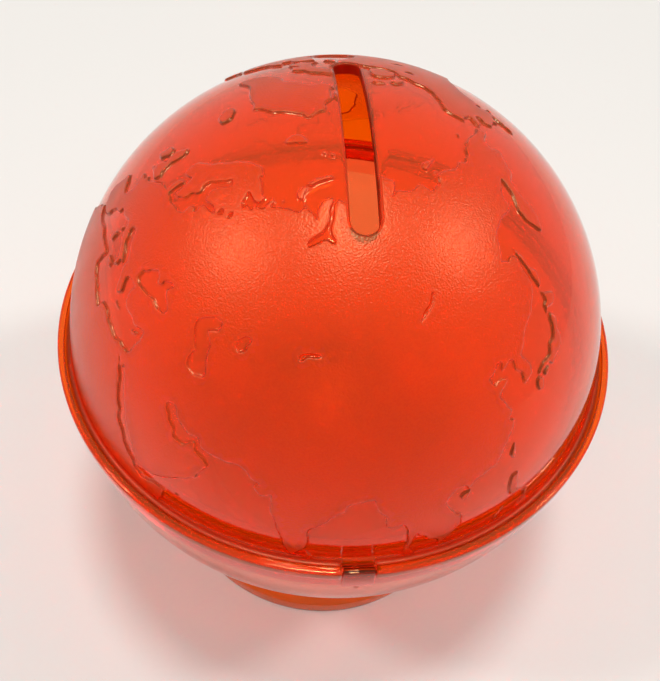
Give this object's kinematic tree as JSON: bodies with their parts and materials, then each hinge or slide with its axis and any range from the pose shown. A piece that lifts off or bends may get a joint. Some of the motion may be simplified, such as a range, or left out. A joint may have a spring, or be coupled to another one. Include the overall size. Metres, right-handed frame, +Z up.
{
  "type": "globe money box",
  "caption": "Globe-shaped money box in see-through orange plastic: a domed top with a raised world map and a coin slot lifts off a clear bowl on a round foot.",
  "frame": {"origin": "middle of the foot's underside, on the table", "axes": "+Z up through the middle of the coin slot, -Y towards the front lug, the slot runs along Y"},
  "size_m": [0.1052, 0.1051, 0.1139],
  "materials": {
    "dome_plastic": "see-through orange-red, polished sea and frosted land",
    "bowl_plastic": "clear polished orange",
    "foot_plastic": "polished deep orange"
  },
  "bodies": {
    "base": {"lower_bowl": "bowl_plastic", "foot_ring": "foot_plastic"},
    "dome": {"upper_dome": "dome_plastic"}
  },
  "joints": [
    {"name": "dome_lift", "type": "slide", "parent": "base", "child": "dome", "axis": [0, 0, 1], "range_m": [0, 0.05]}
  ]
}
